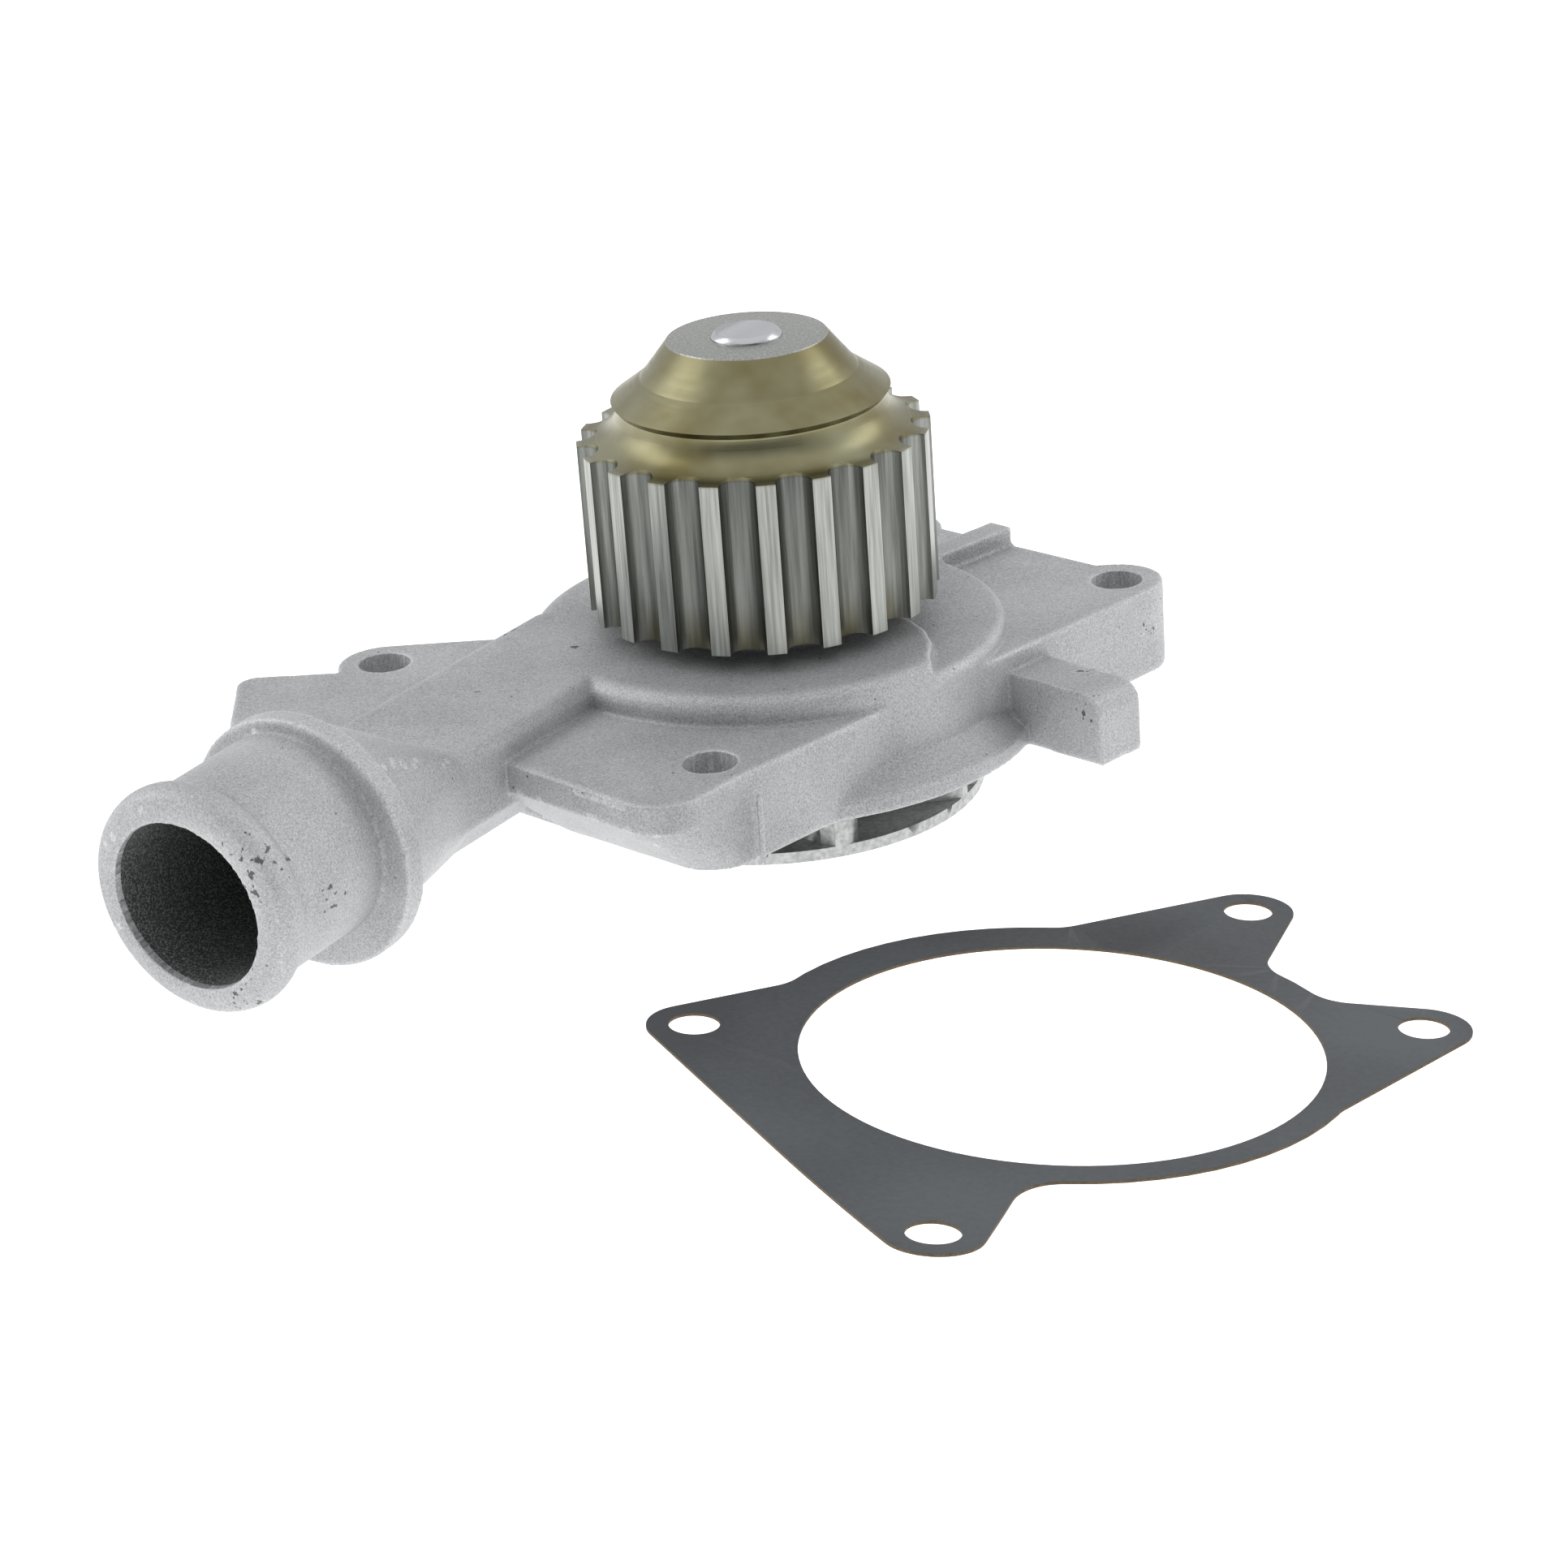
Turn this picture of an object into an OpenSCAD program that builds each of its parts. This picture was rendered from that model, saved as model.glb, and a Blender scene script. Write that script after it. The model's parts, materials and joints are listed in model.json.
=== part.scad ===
// Belt-driven coolant pump for a car engine, with its loose flange gasket.
// The origin is where the shaft axis meets the mounting face.
// +Z runs along the shaft towards the pulley, and -Y is the side of the front ear.

/* [Drive pulley] */
// Number of belt teeth
tooth_count = 20; // [18:1:26]
// Belt pitch, measured on the pitch line
belt_pitch = 9.525; // [9.525:0.1:11.5]
// Height of the pitch line above the tooth tips
pitch_line_height = 0.66; // [0.3:0.05:1]
// Length of the teeth along the shaft
tooth_length = 29.1; // [24:0.1:38]
// Radius of the round groove between two teeth
groove_r = 3.05; // [2.4:0.05:3.3]
// Depth of that groove below the tooth tips
groove_depth = 3.3; // [2.6:0.1:4]
// Angle of the tooth nearest the front ear
tooth_phase = -87.4; // [-99:0.2:-81]
// Height of the stepped nose above the teeth
nose_height = 16.3; // [13:0.1:20]
// Radius of the flat end of the nose
nose_r = 13.4; // [11:0.1:15]
// Gap between the teeth and the top of the housing
pulley_gap = 3.3; // [2.6:0.1:6]

/* [Shaft and bearing] */
// Radius of the shaft where the pulley and the impeller press on
shaft_end_r = 6; // [5:0.1:7.2]
// Radius of the shaft inside the bearing
shaft_r = 7.95; // [7.4:0.05:9.6]
// Radius of the bearing balls
ball_r = 2.38; // [1.9:0.02:2.9]
// Balls in each row
ball_count = 9; // [7:1:10]
// Wall of the outer race behind the balls
race_wall = 2.4; // [1.8:0.1:3]
// Length of the outer race
bearing_length = 35; // [29:0.5:42]
// Running clearance round balls, cages and seal faces
run_gap = 0.04; // [0.03:0.01:0.08]
// How far the shaft end stands out of the nose
shaft_stand_out = 1; // [0.5:0.1:3]

/* [Housing] */
// Height of the four ears above the mounting face
ear_height = 15.5; // [13:0.1:19]
// Radius of each ear and half-width of the arms
ear_r = 8; // [7:0.1:9.6]
// Radius of the bolt holes
bolt_hole_r = 4.3; // [3.3:0.1:5]
// Radius of the round mounting rim
rim_r = 46.3; // [44:0.1:52]
// Thickness of that rim at its edge
rim_t = 2.8; // [2:0.1:4]
// Radius of the dome on top
dome_r = 40.5; // [38:0.1:44]
// How far the dome's roof stands above the ears
roof_rise = 4.8; // [3:0.1:6]
// Wall of the casting
casting_wall = 3.5; // [3:0.1:4.5]
// Wall round the bearing
boss_wall = 4.2; // [3.4:0.1:5]
// Front ear bolt hole
ear_front = [-10.6, -53.2]; // [-120:0.1:120]
// Left ear bolt hole
ear_left = [-65.7, 1.1]; // [-120:0.1:120]
// Right ear bolt hole
ear_right = [61.2, 15.7]; // [-120:0.1:120]
// Back ear bolt hole
ear_back = [24.9, 50.9]; // [-120:0.1:120]

/* [Hose spigot] */
// Bore of the spigot
spigot_bore_r = 13.6; // [11.3:0.1:14.6]
// Wall of the spigot
spigot_wall = 3.5; // [2.8:0.1:4.2]
// How far the hose bead stands out of the spigot
bead_rise = 1.7; // [1.2:0.1:3]
// Length of the spigot from its mouth to the stop collar
spigot_length = 26.5; // [22:0.5:32]
// How far the stop collar stands out of the spigot
collar_rise = 3.9; // [3:0.1:5]
// Centre of the mouth
mouth = [-90, -91.4, 14]; // [-120:0.1:120]
// Heading of the spigot, seen from above
spigot_heading = -124.1; // [-130:0.5:-118]
// Droop of the spigot towards its mouth
spigot_droop = 2.2; // [0:0.1:4]

/* [Impeller and seal] */
// Outer radius of the impeller
impeller_r = 35.7; // [32:0.1:38.5]
// Height of the impeller's water passages
vane_height = 5.6; // [4.5:0.1:7]
// Number of vanes
vane_count = 8; // [6:1:9]
// Gap between the impeller and the mounting face
impeller_gap = 1.2; // [0.8:0.1:2]
// Room between the seal's rubber boot and its cup
seal_room = 1.2; // [1.1:0.1:1.6]

/* [Gasket] */
// Thickness of the gasket
gasket_t = 0.5; // [0.5:0.1:1]
// Radius of the gasket's round opening
gasket_open_r = 39.2; // [38:0.1:41]
// How far the gasket stays inside the edge of the mounting face
gasket_inset = 0.7; // [0.3:0.1:1.5]
// How far the gasket's opening sits off the shaft axis
gasket_open_shift = [-1, 1.4]; // [-2:0.1:2]
// Where the gasket lies beside the pump
gasket_place = [38.15, -106.2]; // [-120:0.1:120]
// How far the gasket is turned where it lies
gasket_turn = -110.3; // [-180:0.1:180]
// Slopes of the table about X and Y: the pump leans on its spigot
table_lean = [-2.37, 4.24]; // [-6:0.01:6]

/* [Hidden] */
$fn = 64;

// A small overlap that makes two shapes of one casting join
bite = 0.4;

// Pulley heights and radii
tip_r = tooth_count * belt_pitch / (2 * PI) - pitch_line_height;
groove_root_r = tip_r - groove_depth;
roof_z = ear_height + roof_rise;
teeth_z = roof_z + pulley_gap;
teeth_top_z = teeth_z + tooth_length;
nose_z = teeth_top_z + nose_height;
shaft_top_z = nose_z + shaft_stand_out;
step_z = nose_z - 6;
ring_z = nose_z - 9.6;
step_r = nose_r + 4.8;
ring_r = nose_r + 10;
neck_r = ring_r - 0.9;

// Bearing radii, worked outwards from the shaft
track_depth = 0.2;
ball_pitch_r = shaft_r - track_depth + run_gap + ball_r;
track_r = ball_r + run_gap;
race_in_r = ball_pitch_r + ball_r + run_gap - track_depth;
race_r = ball_pitch_r + ball_r + run_gap + race_wall;
boss_r = race_r + boss_wall;
cup_r = boss_r + 3.3;
cage_t = 1.2;

// Bearing heights: the race ends inside the pulley's cup
race_stand_out = 2;
seal_top_z = 11.2;
race_z = seal_top_z + 2.3;
race_top_z = race_z + bearing_length;
boss_top_z = race_top_z - race_stand_out;
cup_top_z = race_top_z + 2.2;
bearing_seal_t = 1.2;
rear_row_z = race_z + bearing_length * 0.24;
front_row_z = race_z + bearing_length * 0.76;

// Face seal radii, worked outwards from the shaft
ring_in_r = shaft_end_r + 1.4;
carbon_r = ring_in_r + 3;
mating_r = carbon_r + 0.8;
boot_r = mating_r + 1.1;
seal_r = boot_r + seal_room;

// Impeller heights, worked down from the mounting face
shroud_t = 2.3;
disc_t = 2;
shroud_top_z = -impeller_gap;
vane_top_z = shroud_top_z - shroud_t;
disc_top_z = vane_top_z - vane_height;
impeller_z = disc_top_z - disc_t;
vane_t = 4;
hub_r = boot_r + 1.2;
seal_face_z = -0.4;
boot_z = shroud_top_z - 3.4;

// The table touches the impeller's lower edge on the spigot side
slope_x = -tan(table_lean[1]) / cos(table_lean[0]);
slope_y = tan(table_lean[0]);
table_z = impeller_z - impeller_r * norm([slope_x, slope_y]);
gasket_z = table_z + slope_x * gasket_place[0] + slope_y * gasket_place[1];

// Water way through the housing
chamber_r = 31;
chamber_z = casting_wall;
chamber_top_z = roof_z - casting_wall - 0.3;
seal_boss_r = seal_r + casting_wall;
eye_r = seal_boss_r + 5;
recess_r = impeller_r + 1.3;
recess_depth = 0.8;
duct_w = 28.6;
duct_z = 3;
duct_start = spigot_length + 3;
duct_square = 52;
duct_end = 110;
drain_heading = 42;
drain_z = race_z - 1.1;
drain_r = 1.5;

// Spigot radii
spigot_r = spigot_bore_r + spigot_wall;
bead_r = spigot_r + bead_rise;
collar_r = spigot_r + collar_rise;
collar_t = 4;
collar_drop = 1.5;
collar_shift = 0.8;
duct_round_r = collar_r - 1.9;

// ---- shared shapes ----

// The plane shape that two circles and their outer tangents enclose
module tangent_bar(a, ra, b, rb) {
    d = norm(b - a);
    heading = atan2(b[1] - a[1], b[0] - a[0]);
    lean = acos((ra - rb) / d);
    translate(a) circle(r = ra);
    translate(b) circle(r = rb);
    polygon([
        a + ra * [cos(heading + lean), sin(heading + lean)],
        a + ra * [cos(heading - lean), sin(heading - lean)],
        b + rb * [cos(heading - lean), sin(heading - lean)],
        b + rb * [cos(heading + lean), sin(heading + lean)]
    ]);
}

// A flat ring between two radii and two heights
module ring(inner, outer, z0, z1) {
    rotate_extrude() translate([inner, z0]) square([outer - inner, z1 - z0]);
}

// Moves a shape to the spigot: its +Z then runs from the mouth into the pump
module along_spigot(distance = 0) {
    translate(mouth) rotate([0, 0, spigot_heading]) rotate([0, spigot_droop - 90, 0])
        translate([0, 0, distance]) children();
}

// A block that follows the spigot's heading but stays level
module level_block(start, end, width, z0, z1) {
    translate([mouth[0], mouth[1], 0]) rotate([0, 0, spigot_heading])
        translate([-end, -width / 2, z0]) cube([end - start, width, z1 - z0]);
}

// The arms that carry the four ears down to the mounting face
module arm_outline(middle_r) {
    corner = 7;
    offset(r = -corner) offset(r = corner) {
        tangent_bar(ear_front, ear_r, ear_left, ear_r);
        tangent_bar(ear_front, ear_r, ear_right, ear_r);
        tangent_bar(ear_left, ear_r, [-30, 0.5], ear_r);
        tangent_bar(ear_right, ear_r, [30, 15.7], ear_r);
        tangent_bar(ear_back, ear_r, [21, 26], ear_r);
        tangent_bar(ear_back, ear_r, [-4, 24], 21.4);
        circle(r = middle_r);
    }
}

module bolt_holes(r, z0, z1) {
    for (p = [ear_front, ear_left, ear_right, ear_back])
        translate([p[0], p[1], z0]) cylinder(r = r, h = z1 - z0);
}

// ---- housing ----

// The round rim and its sloping shoulder
module rim() {
    shoulder = 7.2;
    rotate_extrude() polygon([
        [0, 0], [rim_r, 0], [rim_r, rim_t], [rim_r - shoulder, rim_t + 4.2], [0, rim_t + 4.2]
    ]);
}

// The dome: a rounded step above the ears
module dome_body(top_z, corner) {
    rotate_extrude() polygon(concat(
        [[0, rim_t], [dome_r, rim_t]],
        [for (a = [0:15:90]) [dome_r - corner + corner * cos(a), top_z - corner + corner * sin(a)]],
        [[0, top_z]]
    ));
}

// The raised roof over the water way covers the left and the front
module roof_outline() {
    polygon([
        for (a = [60:15:270]) 50 * [cos(a), sin(a)],
        [24, -45],
        [26.5, -32],
        for (a = [-15:15:60]) [5, -20] + 22 * [cos(a), sin(a)]
    ]);
}

// The front ear's shelf stands out beyond its foot
module front_shelf() {
    shelf_tip = ear_front + [-7.6, -9.6];
    shelf_corner = ear_front + [-26, 2];
    shelf_root = ear_front + [-34, 9.5];
    shelf_t = 5;
    root_r = ear_r - 0.3;
    module shelf_outline(trim = 0) {
        tangent_bar(shelf_tip, 7.4 - trim, shelf_corner, 2.4 - trim);
        tangent_bar(shelf_tip, 7.4 - trim, ear_front, root_r - trim);
        tangent_bar(shelf_corner, 2.4 - trim, shelf_root, 2.2 - trim);
        polygon([shelf_tip, ear_front, [-20, -30], [-38.6, -35.6], shelf_root, shelf_corner]);
    }
    translate([0, 0, ear_height - shelf_t]) linear_extrude(shelf_t) shelf_outline();
    hull() {
        linear_extrude(0.1)
            tangent_bar(ear_front, root_r, ear_front + [-18, 17], root_r, $fn = 32);
        translate([0, 0, ear_height - shelf_t]) linear_extrude(0.1)
            shelf_outline(0.3, $fn = 24);
    }
}

// Thin webs at ear level: the fin beside the duct and the bridge to the back ear
module webs() {
    fin_t = 6;
    bridge_t = 5.5;
    fin_corner = [-87.2, -4.6];
    translate([0, 0, ear_height - fin_t]) linear_extrude(fin_t) {
        polygon([
            fin_corner + [-3.3, 0],
            for (a = [165:-25:90]) fin_corner + 3.3 * [cos(a), sin(a)],
            [-74, -2], [-60, 2], [-36, -10], [-66, -50], [-89, -55]
        ]);
    }
    translate([0, 0, ear_height - bridge_t]) linear_extrude(bridge_t) {
        tangent_bar(ear_right, 4, ear_back, 4);
        polygon([ear_right, ear_back, [15, 20]]);
    }
}

// The lug that stands out of the wall between the front and right ears
module side_lug() {
    wall_heading = atan2(ear_right[1] - ear_front[1], ear_right[0] - ear_front[0]);
    lug_t = 10.1;
    lug_h = 12;
    lug_corner = 3.5;
    rotate([0, 0, wall_heading]) translate([17.4, -59.2, 0]) {
        translate([0, lug_corner, 0]) cube([lug_t, 26, lug_h]);
        cube([lug_t, lug_corner + bite, lug_h - lug_corner]);
        translate([0, lug_corner, lug_h - lug_corner]) rotate([0, 90, 0])
            cylinder(r = lug_corner, h = lug_t);
    }
}

// The rib that carries the drain drilling
module drain_rib() {
    rib_w = 5;
    rib_h = 3.4;
    rib_z = drain_z - 1.9;
    rib_end = 57.9;
    rotate([0, 0, drain_heading]) translate([dome_r - 12, -rib_w / 2, rib_z])
        cube([rib_end - dome_r + 12, rib_w, ear_height + rib_h - rib_z]);
}

// The duct from the round spigot to the flat channel under the dome
module duct_body() {
    corner = 2.5;
    // upright cross-section of the channel, with round upper corners
    module channel_section(inset) {
        w = duct_w / 2 - inset;
        h = roof_z - duct_z - inset;
        polygon(concat(
            [[-w + 4, inset], [w - 4, inset], [w, 5]],
            [for (a = [0:22.5:90]) [w - corner + corner * cos(a), h - corner + corner * sin(a)]],
            [for (a = [90:22.5:180]) [-w + corner + corner * cos(a), h - corner + corner * sin(a)]],
            [[-w, 5]]
        ));
    }
    module channel(start, end, inset = 0) {
        translate([mouth[0], mouth[1], duct_z]) rotate([0, 0, spigot_heading])
            translate([-start, 0, 0]) rotate([90, 0, -90]) linear_extrude(end - start)
                channel_section(inset);
    }
    channel(duct_square, duct_end);
    hull() {
        channel(duct_square, duct_square + 0.5, 0.1);
        along_spigot(duct_start) cylinder(r = duct_round_r, h = 0.5, $fn = 40);
    }
}

module spigot_body() {
    along_spigot() rotate_extrude() polygon(concat(
        [[0, 0], [spigot_r - 1.6, 0]],
        [for (a = [-60:15:75]) [bead_r - 2.6 + 2.6 * cos(a), 3.6 + 3.4 * sin(a)]],
        [[spigot_r, 9], [spigot_r, spigot_length + bite], [0, spigot_length + bite]]
    ));
    along_spigot(spigot_length) translate([-collar_drop, collar_shift, 0])
        cylinder(r = collar_r, h = collar_t);
}

module pump_housing() {
    color("silver") difference() {
        union() {
            rim();
            linear_extrude(ear_height) arm_outline(dome_r - 0.5);
            dome_body(roof_z - 2.2, 1.6);
            intersection() {
                dome_body(roof_z, 3);
                linear_extrude(roof_z) roof_outline();
            }
            front_shelf();
            webs();
            side_lug();
            drain_rib();
            duct_body();
            spigot_body();
            cylinder(r = boss_r, h = boss_top_z);
        }
        bolt_holes(bolt_hole_r, -1, ear_height + 1);
        // bearing and seal bores
        translate([0, 0, race_z]) cylinder(r = race_r, h = boss_top_z);
        translate([0, 0, -1]) cylinder(r = seal_r, h = race_z + 1 + bite);
        // shallow recess inside the sealing face, over the impeller
        translate([0, 0, -1]) cylinder(r = recess_r, h = 1 + recess_depth);
        // chamber round the seal, open below to the impeller
        difference() {
            union() {
                translate([0, 0, chamber_z]) cylinder(r = chamber_r, h = chamber_top_z - chamber_z);
                translate([0, 0, -1]) cylinder(r = eye_r, h = chamber_z + 1 + bite);
            }
            translate([0, 0, 2]) cylinder(r = seal_boss_r, h = roof_z);
            rotate([0, 0, drain_heading]) translate([0, -5, 2]) cube([chamber_r + 1, 10, roof_z]);
        }
        // drain drilling from the dry side of the seal to the back edge
        rotate([0, 0, drain_heading]) translate([seal_r - 1, 0, drain_z]) rotate([0, 90, 0])
            cylinder(r = drain_r, h = 60);
        // water way from the spigot
        along_spigot(-1) cylinder(r = spigot_bore_r, h = duct_start + 4);
        hull() {
            along_spigot(duct_start + 2) cylinder(r = spigot_bore_r - 0.15, h = 0.5, $fn = 32);
            level_block(duct_square, duct_square + 1, duct_w - 2 * casting_wall,
                        duct_z + casting_wall, chamber_top_z);
        }
        level_block(duct_square, duct_end + 2, duct_w - 2 * casting_wall,
                    duct_z + casting_wall, chamber_top_z);
    }
}

// ---- drive ----

module drive_pulley() {
    neck_bend = 6.3;
    neck_centre = [neck_r + neck_bend, ring_z - 0.3];
    color("darkgray") difference() {
        rotate_extrude($fn = 96) polygon(concat(
            [[shaft_end_r, cup_top_z], [cup_r, cup_top_z], [cup_r, teeth_z], [tip_r, teeth_z]],
            [[tip_r, teeth_top_z]],
            [for (a = [262:-12.5:187]) neck_centre + neck_bend * [cos(a), sin(a)]],
            [[ring_r, ring_z], [step_r, step_z], [nose_r, nose_z], [shaft_end_r, nose_z]]
        ));
        for (k = [0:tooth_count - 1])
            rotate([0, 0, tooth_phase + (k + 0.5) * 360 / tooth_count])
                translate([groove_root_r + groove_r, 0, teeth_z - 1])
                    cylinder(r = groove_r, h = tooth_length + 2, $fn = 24);
    }
}

module pump_shaft() {
    end_chamfer = 0.8;
    body_z = race_z - 0.4;
    body_top_z = race_top_z + 0.6;
    color("lightgray") difference() {
        rotate_extrude() polygon([
            [0, impeller_z + 0.6], [shaft_end_r - end_chamfer, impeller_z + 0.6],
            [shaft_end_r, impeller_z + 0.6 + end_chamfer], [shaft_end_r, body_z],
            [shaft_r, body_z], [shaft_r, body_top_z], [shaft_end_r, body_top_z],
            [shaft_end_r, shaft_top_z - end_chamfer], [shaft_end_r - end_chamfer, shaft_top_z],
            [0, shaft_top_z]
        ]);
        for (z = [rear_row_z, front_row_z]) ball_track(z);
    }
}

// The rounded track that the balls of one row roll in
module ball_track(z) {
    rotate_extrude() translate([ball_pitch_r, z]) circle(r = track_r);
}

module bearing_outer_race() {
    color("gray") difference() {
        ring(race_in_r, race_r, race_z, race_top_z);
        for (z = [rear_row_z, front_row_z]) ball_track(z);
    }
}

module ball_row(z) {
    color("whitesmoke") for (k = [0:ball_count - 1])
        rotate([0, 0, k * 360 / ball_count]) translate([ball_pitch_r, 0, z]) sphere(r = ball_r);
}

module front_ball_row() {
    ball_row(front_row_z);
}

module rear_ball_row() {
    ball_row(rear_row_z);
}

// One ring on the side away from the other row, with a finger between each pair of balls
module ball_cage(z, side) {
    back = ball_r + 0.5;
    low = side > 0 ? z + 0.6 : z - back - cage_t;
    color("tan") {
        ring(ball_pitch_r - cage_t, ball_pitch_r + cage_t,
             side > 0 ? z + back : z - back - cage_t, side > 0 ? z + back + cage_t : z - back);
        for (k = [0:ball_count - 1])
            rotate([0, 0, (k + 0.5) * 360 / ball_count])
                translate([ball_pitch_r - cage_t / 2, -cage_t / 2, low])
                    cube([cage_t, cage_t, back + cage_t - 0.6]);
    }
}

module front_ball_cage() {
    ball_cage(front_row_z, 1);
}

module rear_ball_cage() {
    ball_cage(rear_row_z, -1);
}

// Rubber lip ring that closes one end of the bearing
module bearing_seal(z) {
    color("black") ring(shaft_r + 0.3, race_in_r, z, z + bearing_seal_t);
}

module front_bearing_seal() {
    bearing_seal(race_top_z - bearing_seal_t - 0.3);
}

module rear_bearing_seal() {
    bearing_seal(race_z + 0.3);
}

module water_slinger() {
    slinger_t = 1;
    color("dimgray") ring(shaft_end_r, shaft_end_r + 3.6, race_z - 0.5 - slinger_t, race_z - 0.5);
}

// ---- face seal ----

module seal_cup() {
    sheet = 0.8;
    color("gainsboro") rotate_extrude() polygon([
        [shaft_end_r + 1, seal_top_z], [seal_r, seal_top_z], [seal_r, 3.4],
        [seal_r - sheet, 3.4], [seal_r - sheet, seal_top_z - sheet],
        [shaft_end_r + 1, seal_top_z - sheet]
    ]);
}

// Steel spring, modelled as a smooth helix
module seal_spring() {
    wire_r = 0.45;
    coil_r = boot_r - 0.2;
    turns = 3;
    low = 3.6;
    high = seal_top_z - 0.8 - 1.1;
    steps = 24 * turns;
    sides = 8;
    function spine(i) = [
        coil_r * cos(i * 360 / 24), coil_r * sin(i * 360 / 24), low + (high - low) * i / steps
    ];
    points = [
        for (i = [0:steps]) for (k = [0:sides - 1])
            spine(i) + wire_r * cos(k * 360 / sides) * [cos(i * 15), sin(i * 15), 0]
                     + [0, 0, wire_r * sin(k * 360 / sides)]
    ];
    faces = concat(
        [[for (k = [0:sides - 1]) k]],
        [for (i = [0:steps - 1]) for (k = [0:sides - 1]) [
            i * sides + k, (i + 1) * sides + k,
            (i + 1) * sides + (k + 1) % sides, i * sides + (k + 1) % sides
        ]],
        [[for (k = [sides - 1:-1:0]) steps * sides + k]]
    );
    color("silver") polyhedron(points, faces);
}

// Folded rubber sleeve between the cup and the carbon ring
module seal_bellows() {
    skin = 1;
    inner = shaft_end_r + 0.8;
    top = seal_top_z - 0.8;
    color("black") rotate_extrude() polygon([
        [inner, 2.6], [carbon_r, 2.6], [carbon_r, 4], [inner + skin, 4.4],
        [inner + skin + 1, 5.8], [inner + skin, 7.2], [inner + skin, top], [inner, top],
        [inner, 7.2 - 0.2], [inner + 1, 5.8], [inner, 4.6]
    ]);
}

// Sheet band that grips the bellows and the carbon ring and carries the spring
module seal_retainer() {
    sheet = 0.5;
    color("gainsboro") rotate_extrude() polygon([
        [carbon_r, 0.8], [carbon_r + sheet, 0.8], [carbon_r + sheet, 2.6],
        [boot_r + 0.3, 2.6], [boot_r + 0.3, 3.1], [carbon_r, 3.1]
    ]);
}

module carbon_seal_ring() {
    color("dimgray") ring(ring_in_r, carbon_r, seal_face_z + run_gap, 2.6);
}

module ceramic_mating_ring() {
    color("white") ring(ring_in_r - 0.6, mating_r, boot_z + 0.8, seal_face_z);
}

module mating_ring_boot() {
    color("black") rotate_extrude() polygon([
        [ring_in_r - 0.6, boot_z], [boot_r, boot_z], [boot_r, shroud_top_z],
        [mating_r, shroud_top_z], [mating_r, boot_z + 0.8], [ring_in_r - 0.6, boot_z + 0.8]
    ]);
}

// ---- impeller ----

// One vane, swept back from the hub to the rim
module vane() {
    sweep = 34;
    steps = 8;
    inner = hub_r - 1;
    outer = impeller_r - 0.05;
    function mid(t) = (inner + (outer - inner) * t) * [cos(sweep * t), sin(sweep * t)];
    function side(t) = [cos(sweep * t + 90 + 24 * t), sin(sweep * t + 90 + 24 * t)];
    function half(t) = vane_t / 2 * (0.6 + 0.4 * t);
    linear_extrude(vane_height + 2 * bite) intersection() {
        circle(r = impeller_r);
        polygon(concat(
            [for (i = [0:steps]) mid(i / steps) + half(i / steps) * side(i / steps)],
            [for (i = [steps:-1:0]) mid(i / steps) - half(i / steps) * side(i / steps)]
        ));
    }
}

module impeller() {
    color("gray") difference() {
        union() {
            translate([0, 0, impeller_z]) cylinder(r = impeller_r, h = disc_t);
            ring(eye_r - 1, impeller_r, vane_top_z, shroud_top_z);
            translate([0, 0, impeller_z]) cylinder(r = hub_r, h = shroud_top_z - impeller_z);
            for (k = [0:vane_count - 1])
                rotate([0, 0, -72 - 34 + k * 360 / vane_count])
                    translate([0, 0, disc_top_z - bite]) vane();
        }
        translate([0, 0, impeller_z - 1]) cylinder(r = shaft_end_r, h = 20);
        translate([0, 0, boot_z]) cylinder(r = boot_r, h = 20);
        // shallow relief round the hub on the resting face
        difference() {
            translate([0, 0, impeller_z - 1]) cylinder(r = impeller_r - 4, h = 1.5);
            translate([0, 0, impeller_z - 1]) cylinder(r = hub_r + 2, h = 1.5);
        }
    }
}

// ---- gasket ----

module flange_gasket() {
    punched_r = bolt_hole_r - 0.4;
    color("darkslategray")
        translate([gasket_place[0], gasket_place[1], gasket_z])
            rotate([table_lean[0], 0, 0]) rotate([0, table_lean[1], 0]) rotate([0, 0, gasket_turn])
                mirror([1, 0, 0]) difference() {
                    linear_extrude(gasket_t) offset(r = -gasket_inset)
                        arm_outline(rim_r);
                    translate([gasket_open_shift[0], gasket_open_shift[1], -1])
                        cylinder(r = gasket_open_r, h = gasket_t + 2);
                    bolt_holes(punched_r, -1, gasket_t + 1);
                }
}

pump_housing();
drive_pulley();
pump_shaft();
bearing_outer_race();
front_ball_row();
rear_ball_row();
front_ball_cage();
rear_ball_cage();
front_bearing_seal();
rear_bearing_seal();
water_slinger();
seal_cup();
seal_spring();
seal_bellows();
seal_retainer();
carbon_seal_ring();
ceramic_mating_ring();
mating_ring_boot();
impeller();
flange_gasket();
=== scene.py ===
import json
import math

import bmesh
import bpy
from mathutils import Matrix, Vector


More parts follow.
